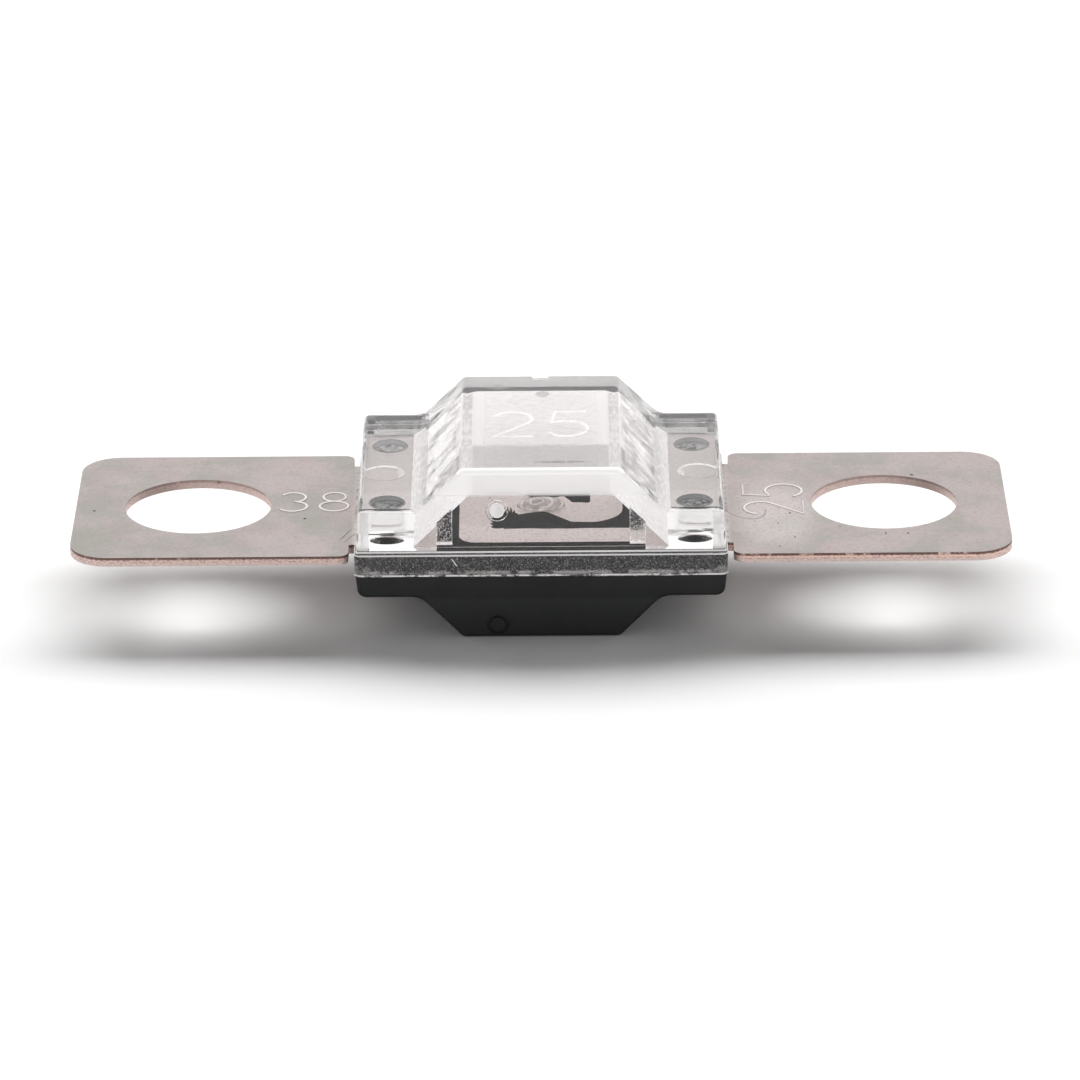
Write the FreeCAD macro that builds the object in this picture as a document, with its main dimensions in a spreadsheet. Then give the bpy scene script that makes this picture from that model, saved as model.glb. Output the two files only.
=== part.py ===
# Bolt down strip fuse: one stamped copper strip with an S-shaped fuse element in its middle,
# held between a clear moulded cover and a black moulded base.
# The origin is midway between the two stud holes, on the strip's underside.
# +X runs along the strip, +Z points up through the clear cover.
import FreeCAD, Part
import os
import Sketcher

doc = FreeCAD.newDocument("strip_fuse")


# Driving dimensions, in millimetres

SIZES = {
    "stud_pitch": (30.0, "stud holes, centre to centre"),
    "stud_hole": (6.4, "stud holes, diameter"),
    "strip_thickness": (0.4, "strip, sheet thickness"),
    "lug_end": (5.35, "lug, from the stud hole's centre to its outer end"),
    "lug_width": (12.0, "lug, width across the strip"),
    "lug_corner": (1.7, "lug, radius of the outer corners"),
    "lug_root_corner": (0.45, "lug, radius where the full width ends beside the housing"),
    "lug_root_gap": (0.25, "lug, gap from the housing's end to the full width"),
    "neck_inset": (1.3, "neck, how far its sides stand in from the lug's sides"),
    "neck_length": (3.55, "neck, how far it reaches into the housing"),
    "element_clearance": (0.6, "element, from its front and back bars to the cavity's walls"),
    "element_bar": (1.5, "element, width of the front and back bars"),
    "element_turn": (1.4, "element, width of the two turns"),
    "element_slot": (0.7, "element, width of the slots beside the wide part of the middle bar"),
    "element_gap": (0.95, "element, gap between a turn and the neck beside it"),
    "element_waist": (1.4, "element, width at the fusing point in its middle"),
    "element_step_corner": (0.35, "element, radii of the step where the middle bar widens"),
    "element_tip": (1.0, "element, from the middle line to the tip beside the tin"),
    "element_notch": (0.3, "element, from the middle line to the notch"),
    "element_turn_corner": (0.7, "element, radius of the front and back bars' corners"),
    "element_lobe": (1.5, "element, radius of the round ends of the middle bar"),
    "element_slot_corner": (0.25, "element, radius in the ends of its slots"),
    "tin_length": (2.1, "tin spot, along the element"),
    "tin_width": (1.35, "tin spot, across the element"),
    "tin_height": (0.34, "tin spot, above the strip"),
    "housing_length": (16.1, "housing, along the strip at the skirt"),
    "housing_corner": (0.3, "housing, radius of the upright corners"),
    "wall": (1.2, "housing, roof, floor and front wall"),
    "slope_wall": (1.75, "housing, sloping wall measured along the strip"),
    "draft": (0.1, "housing, lean of the side walls over their height"),
    "shoulder_height": (2.05, "cover, shoulder above the strip's top"),
    "bump_height": (3.85, "cover, raised middle above the strip's top"),
    "shoulder_depth": (1.6, "base, shoulder below the strip's underside"),
    "bump_depth": (3.47, "base, lowered middle below the strip's underside"),
    "shoulder_length": (2.825, "housing, shoulder from the housing's end to the slope"),
    "slope_length": (1.825, "housing, slope measured along the strip"),
    "foot_fillet": (1.0, "housing, hollow radius at the foot of the slopes"),
    "bump_edge": (0.35, "housing, radius at the top of the slopes"),
    "shoulder_edge": (0.25, "cover, radius at the outer edge of the shoulders"),
    "base_edge": (0.4, "base, radius at the outer edge of the shoulders"),
    "face_edge": (0.18, "housing, radius round the front and back faces"),
    "base_inset": (0.05, "base, how far its sides stand in from the skirt"),
    "skirt_drop": (0.57, "cover, skirt below the strip's underside"),
    "skirt_wall": (0.65, "cover, thickness of the skirt"),
    "ledge_height": (0.12, "cover, ledge of the skirt above the strip's top"),
    "ledge_slope": (0.15, "cover, how much lower the ledge's outer edge is"),
    "ledge_width": (0.1, "cover, how far the skirt stands out"),
    "wall_foot": (0.2, "cover, how far the cavity's walls reach below the underside"),
    "fit_gap": (0.05, "named clearance between the cover, the base and the strip"),
    "pin_diameter": (1.5, "cover, diameter of the four pins under its shoulders"),
    "pin_from_end": (1.4, "cover, from the housing's end to the middle of a pin"),
    "pin_from_side": (1.3, "cover, from the neck's side to the middle of a pin"),
    "pin_depth": (0.9, "cover, how far the pins reach below the strip's underside"),
    "rail_height": (0.2, "base, rails beside the strip above its underside"),
    "rib_width": (0.7, "cover, width of a rib"),
    "rib_depth": (0.55, "cover, how far a rib stands into the cavity"),
    "rib_foot": (0.15, "cover, rib's lower end above the strip's top"),
    "rib_from_turn": (0.62, "cover, from the side of the element's turn to the middle of a rib"),
    "ejector_mark": (1.8, "cover, diameter of the round mark under each shoulder"),
    "ejector_inset": (1.2, "cover, from the housing's end to the middle of a mark"),
    "ejector_sink": (0.08, "cover, depth of the marks"),
    "gate_ring": (0.95, "gate marks, diameter of the dished ring"),
    "gate_nub": (0.6, "gate marks, diameter of the nub in the middle"),
    "gate_sink": (0.12, "gate marks, depth of the ring"),
    "gate_from_middle": (1.88, "gate marks, distance to the left of the middle"),
    "cover_gate_height": (1.97, "cover's gate mark above the strip's top"),
    "base_gate_depth": (2.85, "base's gate mark below the strip's underside"),
    "vent_width": (0.7, "cover, small notch in the back edge of the roof"),
    "vent_cut": (0.35, "cover, depth of that notch"),
    "cut_margin": (1.0, "all pieces, how far a cut reaches past the shape"),
}

# The middle bar's outline, as shares of the way from the middle to the slots' ends
MIDDLE_BAR = {
    "waist_end": (0.093, "element, where the middle bar starts to widen"),
    "step_end": (0.605, "element, where the middle bar has its full width"),
    "tip_place": (0.465, "element, the tip beside the tin"),
    "notch_start": (0.628, "element, the deep part of the notch"),
}

sheet = doc.addObject("Spreadsheet::Sheet", "sizes")
for row, (alias, (size, note)) in enumerate((SIZES | MIDDLE_BAR).items(), start=1):
    sheet.set(f"A{row}", note)
    sheet.set(f"B{row}", str(size))
    sheet.setAlias(f"B{row}", alias)
doc.recompute()


# Heights and lengths that several pieces share, as formulas on the sheet

STRIP_TOP = "sizes.strip_thickness"
SHOULDER_TOP = "(sizes.strip_thickness + sizes.shoulder_height)"
BUMP_TOP = "(sizes.strip_thickness + sizes.bump_height)"
LEDGE_TOP = "(sizes.strip_thickness + sizes.ledge_height)"
LEDGE_EDGE = "(sizes.strip_thickness + sizes.ledge_height - sizes.ledge_slope)"
UNDERSIDE = "(sizes.strip_thickness + sizes.fit_gap)"
CEILING = "(sizes.strip_thickness + sizes.bump_height - sizes.wall)"
FLOOR = "(sizes.wall - sizes.bump_depth)"

HALF_LENGTH = "(sizes.housing_length / 2)"
HALF_DEPTH = "(sizes.lug_width / 2)"
BODY_HALF_LENGTH = "(sizes.housing_length / 2 - sizes.ledge_width)"
BODY_HALF_DEPTH = "(sizes.lug_width / 2 - sizes.ledge_width)"
SLOPE_FOOT = "(sizes.housing_length / 2 - sizes.shoulder_length)"
SLOPE_CREST = "(sizes.housing_length / 2 - sizes.shoulder_length - sizes.slope_length)"
COVER_SLOPE = "(sizes.slope_length / (sizes.bump_height - sizes.shoulder_height))"
BASE_SLOPE = "(sizes.slope_length / (sizes.bump_depth - sizes.shoulder_depth))"
CAVITY_HALF_DEPTH = "(sizes.lug_width / 2 - sizes.ledge_width - sizes.wall)"

HALF_NECK = "(sizes.lug_width / 2 - sizes.neck_inset)"
NECK_END = "(sizes.housing_length / 2 - sizes.neck_length)"
TURN = "(sizes.housing_length / 2 - sizes.neck_length - sizes.element_gap)"
PIN_X = "(sizes.housing_length / 2 - sizes.pin_from_end)"
PIN_Y = "(sizes.lug_width / 2 - sizes.neck_inset - sizes.pin_from_side)"
PIN_HOLE_RADIUS = "(sizes.pin_diameter / 2 + sizes.fit_gap)"

PAST = "sizes.cut_margin"

SAME_PLACE = 1e-4


def value(text):
    """The number that a formula on the sheet gives now."""
    return float(sheet.evalExpression(text))


# Helpers for sketches and features

def new_body(label):
    body = doc.addObject("PartDesign::Body", label)
    body.Label = label
    return body


def new_sketch(body, name, role, height="0"):
    """A sketch on one of the body's own origin planes, lifted along the plane's normal."""
    sketch = body.newObject("Sketcher::SketchObject", name)
    plane = [item for item in body.Origin.OriginFeatures if item.Role == role][0]
    sketch.AttachmentSupport = [(plane, "")]
    sketch.MapMode = "FlatFace"
    sketch.setExpression("AttachmentOffset.Base.z", height)
    doc.recompute()
    return sketch


def locate(sketch, geometry, point, x, y):
    """Ties one point of a sketch to formulas for its distances from the origin."""
    for kind, text in (("DistanceX", x), ("DistanceY", y)):
        index = sketch.addConstraint(Sketcher.Constraint(kind, -1, 1, geometry, point, value(text)))
        sketch.setExpression(f"Constraints[{index}]", text)


def add_outline(sketch, corners):
    """A closed outline of straight lines with each corner given by two formulas."""
    places = [FreeCAD.Vector(value(x), value(y), 0) for x, y in corners]
    first = sketch.GeometryCount
    for start, end in zip(places, places[1:] + places[:1]):
        sketch.addGeometry(Part.LineSegment(start, end))
    for number, (x, y) in enumerate(corners):
        line = first + number
        previous = first + (number - 1) % len(corners)
        sketch.addConstraint(Sketcher.Constraint("Coincident", previous, 2, line, 1))
        locate(sketch, line, 1, x, y)


def add_rectangle(sketch, low_x, low_y, high_x, high_y):
    add_outline(sketch, [(low_x, low_y), (high_x, low_y), (high_x, high_y), (low_x, high_y)])


def add_circle(sketch, x, y, radius):
    place = FreeCAD.Vector(value(x), value(y), 0)
    number = sketch.addGeometry(Part.Circle(place, FreeCAD.Vector(0, 0, 1), value(radius)))
    locate(sketch, number, 3, x, y)
    index = sketch.addConstraint(Sketcher.Constraint("Radius", number, value(radius)))
    sketch.setExpression(f"Constraints[{index}]", radius)


def add_four_circles(sketch, radius):
    """Circles at the four pins."""
    for x_side in ("-", ""):
        for y_side in ("-", ""):
            add_circle(sketch, x_side + PIN_X, y_side + PIN_Y, radius)


def add_feature(body, kind, name, sketch, length, side="One side", reverse=False):
    """A pad or pocket of a sketch, whose length is a formula."""
    feature = body.newObject("PartDesign::" + kind, name)
    feature.Profile = sketch
    feature.SideType = side
    feature.Reversed = reverse
    feature.setExpression("Length", length)
    doc.recompute()
    return feature


def add_fillet(body, name, base, edges, radius):
    """Rounds the named edges of a feature."""
    feature = body.newObject("PartDesign::Fillet", name)
    feature.Base = (base, edges)
    feature.setExpression("Radius", radius)
    doc.recompute()
    return feature


def edges_along(shape, axis, places):
    """Straight edges along an axis (0, 1 or 2) that pass through places on the other two axes."""
    across = [number for number in range(3) if number != axis]
    found = []
    for number, edge in enumerate(shape.Edges, start=1):
        start, end = edge.Vertexes[0].Point, edge.Vertexes[-1].Point
        if edge.Curve.TypeId != "Part::GeomLine" or abs(start[axis] - end[axis]) < edge.Length - SAME_PLACE:
            continue
        if any(all(abs(start[a] - p) < SAME_PLACE for a, p in zip(across, place)) for place in places):
            found.append(f"Edge{number}")
    return found


def mirrored(places):
    """Each place in all four quarters."""
    return [(sx * x, sy * y) for x, y in places for sx in (1, -1) for sy in (1, -1)]


# The strip: lugs, necks and the S-shaped element, stamped from one sheet

def make_strip():
    body = new_body("fuse_strip")
    half_length = "(sizes.stud_pitch / 2 + sizes.lug_end)"
    lug_root = "(sizes.housing_length / 2 + sizes.lug_root_gap)"

    blank = new_sketch(body, "strip_blank", "XY_Plane")
    add_rectangle(blank, "-" + half_length, "-" + HALF_DEPTH, half_length, HALF_DEPTH)
    sheet_metal = add_feature(body, "Pad", "strip_sheet", blank, "sizes.strip_thickness")

    sides = new_sketch(body, "neck_sides", "XY_Plane")
    add_rectangle(sides, "-" + lug_root, HALF_NECK, lug_root, HALF_DEPTH + " + " + PAST)
    add_rectangle(sides, "-" + lug_root, "-" + HALF_DEPTH + " - " + PAST, lug_root, "-" + HALF_NECK)
    necked = add_feature(body, "Pocket", "neck_cut", sides, "sizes.strip_thickness", reverse=True)

    outer = [(value(half_length), value(HALF_DEPTH))]
    rounded = add_fillet(
        body, "lug_corners", necked, edges_along(necked.Shape, 2, mirrored(outer)), "sizes.lug_corner"
    )
    roots = [(value(lug_root), value(HALF_DEPTH))]
    rounded = add_fillet(
        body, "lug_roots", rounded, edges_along(rounded.Shape, 2, mirrored(roots)), "sizes.lug_root_corner"
    )

    holes = new_sketch(body, "stud_holes", "XY_Plane")
    for side in ("-", ""):
        add_circle(holes, side + "sizes.stud_pitch / 2", "0", "sizes.stud_hole / 2")
    add_feature(body, "Pocket", "stud_hole_cut", holes, "sizes.strip_thickness", reverse=True)

    pin_holes = new_sketch(body, "pin_holes", "XY_Plane")
    add_four_circles(pin_holes, PIN_HOLE_RADIUS)
    add_feature(body, "Pocket", "pin_hole_cut", pin_holes, "sizes.strip_thickness", reverse=True)

    # One cut takes out the back margin, the gap beside the right turn and the slot in front of
    # the middle bar. Turned by 180 degrees it leaves the S.
    edge = f"({CAVITY_HALF_DEPTH} - sizes.element_clearance)"
    bar_inner = f"({edge} - sizes.element_bar)"
    middle_edge = f"({bar_inner} - sizes.element_slot)"
    slot_end = f"({TURN} - sizes.element_turn)"
    step_end = f"({slot_end} * sizes.step_end)"
    past_neck = f"({HALF_NECK} + {PAST})"
    slot = new_sketch(body, "element_slot", "XY_Plane")
    add_outline(slot, [
        ("-" + slot_end, "-" + bar_inner),
        (NECK_END, "-" + bar_inner),
        (NECK_END, past_neck),
        ("-" + NECK_END, past_neck),
        ("-" + NECK_END, edge),
        (TURN, edge),
        (TURN, "-" + middle_edge),
        (step_end, "-" + middle_edge),
        (f"{slot_end} * sizes.waist_end", "-sizes.element_waist / 2"),
        (f"-{slot_end} * sizes.tip_place", "-sizes.element_tip"),
        (f"-{slot_end} * sizes.notch_start", "-sizes.element_notch"),
        ("-" + slot_end, "-sizes.element_notch"),
    ])
    first_half = add_feature(body, "Pocket", "element_cut", slot, "sizes.strip_thickness", reverse=True)
    element = body.newObject("PartDesign::PolarPattern", "element_cuts")
    element.Originals = [first_half]
    element.Axis = ([item for item in body.Origin.OriginFeatures if item.Role == "Z_Axis"][0], [""])
    element.Angle = 360
    element.Occurrences = 2
    body.Tip = element
    doc.recompute()

    lobe = f"min(sizes.element_lobe; {TURN} - {step_end} - sizes.element_step_corner)"
    rounds = [
        ("turn_corners", [(TURN, edge)], "sizes.element_turn_corner"),
        ("lobes", [(TURN, "-" + middle_edge)], lobe),
        ("step_corners", [
            (step_end, "-" + middle_edge),
            (f"{slot_end} * sizes.waist_end", "-sizes.element_waist / 2"),
        ], "sizes.element_step_corner"),
        ("slot_corners", [
            ("-" + slot_end, "-" + bar_inner),
            ("-" + slot_end, "-sizes.element_notch"),
            (NECK_END, "-" + bar_inner),
        ], "sizes.element_slot_corner"),
    ]
    rounded = element
    for name, corners, radius in rounds:
        places = [(value(x), value(y)) for x, y in corners]
        places += [(-x, -y) for x, y in places]
        rounded = add_fillet(body, name, rounded, edges_along(rounded.Shape, 2, places), radius)
    return body


# The tin spot: a flat oval bead on the element's fusing point

def make_tin_spot():
    bead = doc.addObject("Part::Ellipsoid", "tin_spot")
    bead.Label = "tin_spot"
    bead.setExpression("Radius1", "sizes.tin_height")
    bead.setExpression("Radius2", "sizes.tin_length / 2")
    bead.setExpression("Radius3", "sizes.tin_width / 2")
    bead.Angle1 = 0
    bead.setExpression("Placement.Base.z", STRIP_TOP)
    return bead


# What the cover and the base have in common

def trim_faces(body, foot, start, end, inset):
    """Steps the front and back faces in from foot to start, then leans them on up to end."""
    wedge = new_sketch(body, body.Label + "_face_lean", "YZ_Plane")
    over = f"({end} + {PAST} * ({end} - {start}) / abs({end} - {start}))"
    for side in ("-", ""):
        add_outline(wedge, [
            (f"{side}{HALF_DEPTH}", foot),
            (f"{side}({HALF_DEPTH} - {inset})", start),
            (f"{side}({HALF_DEPTH} - {inset} - sizes.draft)", end),
            (f"{side}({HALF_DEPTH} - {inset} - sizes.draft)", over),
            (f"{side}({HALF_DEPTH} + {PAST})", over),
            (f"{side}({HALF_DEPTH} + {PAST})", foot),
        ])
    return add_feature(
        body, "Pocket", body.Label + "_face_trim", wedge, f"sizes.housing_length + {PAST}", side="Symmetric"
    )


def round_profile(body, base, shoulder, bump, edge_radius, shoulder_x):
    """Rounds the hollow feet, the tops of the slopes and the outer edges of the shoulders."""
    rounds = [
        ("feet", value(SLOPE_FOOT), value(shoulder), "sizes.foot_fillet"),
        ("crests", value(SLOPE_CREST), value(bump), "sizes.bump_edge"),
        ("shoulders", value(shoulder_x), value(shoulder), edge_radius),
    ]
    for name, x, z, radius in rounds:
        edges = edges_along(base.Shape, 1, [(x, z), (-x, z)])
        base = add_fillet(body, f"{body.Label}_{name}", base, edges, radius)
    return base


def round_faces(body, base, foot, crest):
    """Rounds the rim of the front and back faces, but not along their foot."""
    reach = value(f"{HALF_DEPTH} - 2 * sizes.ledge_width - sizes.draft")
    edges = []
    for number, edge in enumerate(base.Shape.Edges, start=1):
        box = edge.BoundBox
        beside = box.YMin > reach or box.YMax < -reach
        rise = (box.Center.z - value(foot)) / (value(crest) - value(foot))
        if beside and rise > SAME_PLACE:
            edges.append(f"Edge{number}")
    return add_fillet(body, body.Label + "_face_rim", base, edges, "sizes.face_edge")


def add_cavity(body, name, opening, end, slope, span):
    """The hollow round the element: a trapezoid that follows the slopes at the walls' thickness."""
    at_end = f"({SLOPE_CREST} + sizes.wall * {slope} - sizes.slope_wall)"
    at_opening = f"({SLOPE_CREST} + {span} * {slope} - sizes.slope_wall)"
    hollow = new_sketch(body, name, "XZ_Plane")
    add_outline(hollow, [
        ("-" + at_opening, opening),
        (at_opening, opening),
        (at_end, end),
        ("-" + at_end, end),
    ])
    return add_feature(body, "Pocket", name + "_cut", hollow, "2 * " + CAVITY_HALF_DEPTH, side="Symmetric")


def add_gate_mark(body, name, height, reach):
    """A dished ring with a nub, low on the front face, where the mould was filled."""
    ring = new_sketch(body, name, "XZ_Plane", reach)
    add_circle(ring, "-sizes.gate_from_middle", height, "sizes.gate_ring / 2")
    add_circle(ring, "-sizes.gate_from_middle", height, "sizes.gate_nub / 2")
    return add_feature(body, "Pocket", name + "_cut", ring, "sizes.gate_sink + sizes.draft")


# The clear cover: skirt, two shoulders with two pins under each, raised middle, cavity and ribs

def make_cover():
    body = new_body("clear_cover")
    bottom = "-sizes.skirt_drop"
    shoulder_x = f"({BODY_HALF_LENGTH} - sizes.draft)"

    profile = new_sketch(body, "cover_profile", "XZ_Plane")
    right = [
        (HALF_LENGTH, bottom),
        (HALF_LENGTH, LEDGE_EDGE),
        (BODY_HALF_LENGTH, LEDGE_TOP),
        (shoulder_x, SHOULDER_TOP),
        (SLOPE_FOOT, SHOULDER_TOP),
        (SLOPE_CREST, BUMP_TOP),
    ]
    left = [("-" + x, z) for x, z in reversed(right)]
    add_outline(profile, right + left)
    block = add_feature(body, "Pad", "cover_block", profile, "sizes.lug_width", side="Symmetric")

    corner = [(value(HALF_LENGTH), value(HALF_DEPTH))]
    block = add_fillet(
        body, "skirt_corners", block, edges_along(block.Shape, 2, mirrored(corner)), "sizes.housing_corner"
    )
    trimmed = trim_faces(body, LEDGE_EDGE, LEDGE_TOP, BUMP_TOP, "sizes.ledge_width")
    rounded = round_profile(body, trimmed, SHOULDER_TOP, BUMP_TOP, "sizes.shoulder_edge", shoulder_x)
    round_faces(body, rounded, LEDGE_TOP, BUMP_TOP)

    socket = new_sketch(body, "skirt_socket", "XY_Plane", bottom)
    inner_x = "(sizes.housing_length / 2 - sizes.skirt_wall)"
    inner_y = "(sizes.lug_width / 2 - sizes.skirt_wall)"
    add_rectangle(socket, "-" + inner_x, "-" + inner_y, inner_x, inner_y)
    inside = "sizes.skirt_drop + " + UNDERSIDE
    add_feature(body, "Pocket", "skirt_socket_cut", socket, inside, reverse=True)

    door = new_sketch(body, "strip_door", "XY_Plane", bottom)
    door_x = f"({HALF_LENGTH} + {PAST})"
    door_y = f"({HALF_NECK} + sizes.fit_gap)"
    add_rectangle(door, "-" + door_x, "-" + door_y, door_x, door_y)
    add_feature(body, "Pocket", "strip_door_cut", door, inside, reverse=True)

    # Beside the cavity the front and back walls reach down over the base's rails.
    feet = new_sketch(body, "wall_feet", "XY_Plane", UNDERSIDE)
    for side in ("-", ""):
        add_rectangle(
            feet,
            "-" + NECK_END,
            f"{side}({HALF_NECK} + sizes.fit_gap)",
            NECK_END,
            f"{side}({HALF_DEPTH} - sizes.skirt_wall / 2)",
        )
    add_feature(body, "Pad", "wall_foot_blocks", feet, "sizes.wall_foot", reverse=True)

    add_cavity(body, "cover_cavity", STRIP_TOP, CEILING, COVER_SLOPE, "sizes.bump_height")

    # The ribs run down the front and back walls from the slopes, over the gaps beside the
    # element, and end above the strip.
    ribs = new_sketch(body, "ribs", "XY_Plane", "sizes.strip_thickness + sizes.rib_foot")
    middle = f"({TURN} + sizes.rib_from_turn)"
    for x_side in ("-", ""):
        for y_side in ("-", ""):
            add_rectangle(
                ribs,
                f"{x_side}{middle} - sizes.rib_width / 2",
                f"{y_side}({CAVITY_HALF_DEPTH} - sizes.rib_depth)",
                f"{x_side}{middle} + sizes.rib_width / 2",
                f"{y_side}({CAVITY_HALF_DEPTH} + sizes.wall / 2)",
            )
    add_feature(body, "Pad", "rib_columns", ribs, "sizes.shoulder_height - sizes.rib_foot")

    # The pins pass through the strip and end in the base.
    pins = new_sketch(body, "pins", "XY_Plane", LEDGE_TOP)
    add_four_circles(pins, "sizes.pin_diameter / 2")
    add_feature(body, "Pad", "pin_posts", pins, LEDGE_TOP + " + sizes.pin_depth", reverse=True)

    marks = new_sketch(body, "ejector_marks", "XY_Plane")
    for side in ("-", ""):
        middle = side + "(sizes.housing_length / 2 - sizes.ejector_inset)"
        add_circle(marks, middle, "0", "sizes.ejector_mark / 2")
    sunk = UNDERSIDE + " + sizes.ejector_sink"
    add_feature(body, "Pocket", "ejector_mark_cut", marks, sunk, reverse=True)

    add_gate_mark(body, "cover_gate", "sizes.strip_thickness + sizes.cover_gate_height", BODY_HALF_DEPTH)

    vent = new_sketch(body, "roof_notch", "XY_Plane", BUMP_TOP)
    back = f"({BODY_HALF_DEPTH} - sizes.draft)"
    add_rectangle(
        vent,
        "-sizes.vent_width / 2",
        f"{back} - sizes.vent_cut",
        "sizes.vent_width / 2",
        f"{back} + sizes.vent_cut",
    )
    add_feature(body, "Pocket", "roof_notch_cut", vent, "sizes.vent_cut")
    return body


# The black base: mirrored profile, tongue inside the skirt, channel for the strip and cavity

def make_base():
    body = new_body("base_housing")
    rim = "(-sizes.skirt_drop)"
    shoulder = "(-sizes.shoulder_depth)"
    bump = "(-sizes.bump_depth)"
    base_x = f"({HALF_LENGTH} - sizes.base_inset)"
    shoulder_x = f"({base_x} - sizes.draft)"

    profile = new_sketch(body, "base_profile", "XZ_Plane")
    right = [
        (base_x, rim),
        (shoulder_x, shoulder),
        (SLOPE_FOOT, shoulder),
        (SLOPE_CREST, bump),
    ]
    left = [("-" + x, z) for x, z in reversed(right)]
    add_outline(profile, right + left)
    add_feature(body, "Pad", "base_block", profile, "sizes.lug_width", side="Symmetric")
    trimmed = trim_faces(body, rim, rim, bump, "sizes.base_inset")
    rounded = round_profile(body, trimmed, shoulder, bump, "sizes.base_edge", shoulder_x)
    round_faces(body, rounded, rim, bump)

    # The tongue fills the skirt; its rails stand up beside the strip's necks to half their
    # thickness.
    tongue = new_sketch(body, "tongue", "XY_Plane", rim)
    inner_x = "(sizes.housing_length / 2 - sizes.skirt_wall - sizes.fit_gap)"
    inner_y = "(sizes.lug_width / 2 - sizes.skirt_wall - sizes.fit_gap)"
    add_rectangle(tongue, "-" + inner_x, "-" + inner_y, inner_x, inner_y)
    add_feature(body, "Pad", "tongue_block", tongue, "sizes.skirt_drop + sizes.rail_height")

    tabs = new_sketch(body, "end_tabs", "XY_Plane", rim)
    add_rectangle(tabs, "-" + base_x, "-" + HALF_NECK, base_x, HALF_NECK)
    add_feature(body, "Pad", "end_tab_blocks", tabs, "sizes.skirt_drop")

    channel = new_sketch(body, "strip_channel", "XY_Plane")
    channel_y = f"({HALF_NECK} + sizes.fit_gap)"
    add_rectangle(channel, "-" + HALF_LENGTH, "-" + channel_y, HALF_LENGTH, channel_y)
    add_feature(body, "Pocket", "strip_channel_cut", channel, "sizes.strip_thickness", reverse=True)

    add_cavity(body, "base_cavity", "0", FLOOR, BASE_SLOPE, "sizes.bump_depth")

    pin_holes = new_sketch(body, "pin_holes", "XY_Plane")
    add_four_circles(pin_holes, PIN_HOLE_RADIUS)
    add_feature(body, "Pocket", "pin_hole_cut", pin_holes, "sizes.pin_depth + sizes.fit_gap")

    reach = f"({HALF_DEPTH} - sizes.base_inset)"
    add_gate_mark(body, "base_gate", "-sizes.base_gate_depth", reach)
    return body


# Build, check and write

pieces = [make_strip(), make_tin_spot(), make_cover(), make_base()]
doc.recompute()

for item in doc.Objects:
    if "Invalid" in item.State or "Error" in item.State:
        raise RuntimeError(f"{item.Label} failed: {item.State}")
for piece in pieces:
    if piece.Shape.isNull() or not piece.Shape.isValid():
        raise RuntimeError(f"{piece.Label} has no valid shape")

os.makedirs("parts", exist_ok=True)
for piece in pieces:
    piece.Shape.exportStep(f"parts/{piece.Label}.step")
    print(piece.Label, len(piece.Shape.Solids), round(piece.Shape.Volume, 4), piece.Shape.BoundBox)
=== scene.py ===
import math
import random

import bmesh
import bpy
from mathutils import Matrix, Vector


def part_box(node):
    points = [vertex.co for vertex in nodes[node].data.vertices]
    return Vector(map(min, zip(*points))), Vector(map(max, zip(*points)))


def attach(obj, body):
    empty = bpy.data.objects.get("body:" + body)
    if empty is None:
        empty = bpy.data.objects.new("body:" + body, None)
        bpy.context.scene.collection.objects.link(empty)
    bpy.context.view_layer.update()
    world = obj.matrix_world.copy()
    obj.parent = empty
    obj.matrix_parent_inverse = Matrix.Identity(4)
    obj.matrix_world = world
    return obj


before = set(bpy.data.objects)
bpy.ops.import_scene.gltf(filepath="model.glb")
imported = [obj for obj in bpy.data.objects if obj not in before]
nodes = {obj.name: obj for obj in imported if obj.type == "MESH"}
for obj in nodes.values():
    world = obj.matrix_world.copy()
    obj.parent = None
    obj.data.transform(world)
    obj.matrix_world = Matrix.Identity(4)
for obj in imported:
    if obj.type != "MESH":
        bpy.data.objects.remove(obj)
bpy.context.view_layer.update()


# The strip is stamped from copper sheet and plated with tin. The plating is dull, mottled
# grey and pink, with fine scratches and black specks, and darker in patches where the strip
# enters the housing. Painted light makes it lighter inside the housing, most on the front bar.
# Its sheared edges show a dark lip, a line of bare copper and smeared plating, and inside
# the housing they are painted in shade.

MM = 0.001


class Term:
    """One output in a node tree. Sums and products of terms add Math nodes to the tree."""

    def __init__(self, finish, socket):
        self.finish = finish
        self.socket = socket

    def math(self, operation, first, second=None):
        return self.finish.add("Math", {"operation": operation}, {0: first, 1: second})

    def __add__(self, other):
        return self.math("ADD", self, other)

    def __radd__(self, other):
        return self.math("ADD", other, self)

    def __sub__(self, other):
        return self.math("SUBTRACT", self, other)

    def __rsub__(self, other):
        return self.math("SUBTRACT", other, self)

    def __mul__(self, other):
        return self.math("MULTIPLY", self, other)

    def __rmul__(self, other):
        return self.math("MULTIPLY", other, self)

    def __abs__(self):
        return self.math("ABSOLUTE", self)

    def wave(self):
        return self.math("SINE", self)

    def largest(self, other):
        return self.math("MAXIMUM", self, other)

    def smallest(self, other):
        return self.math("MINIMUM", self, other)

    def rise(self, low, high):
        """Goes smoothly from 0 at low to 1 at high, or back down where high is below low."""
        smooth = {"interpolation_type": "SMOOTHSTEP"}
        return self.finish.add("MapRange", smooth, Value=self, From_Min=low, From_Max=high)


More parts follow.
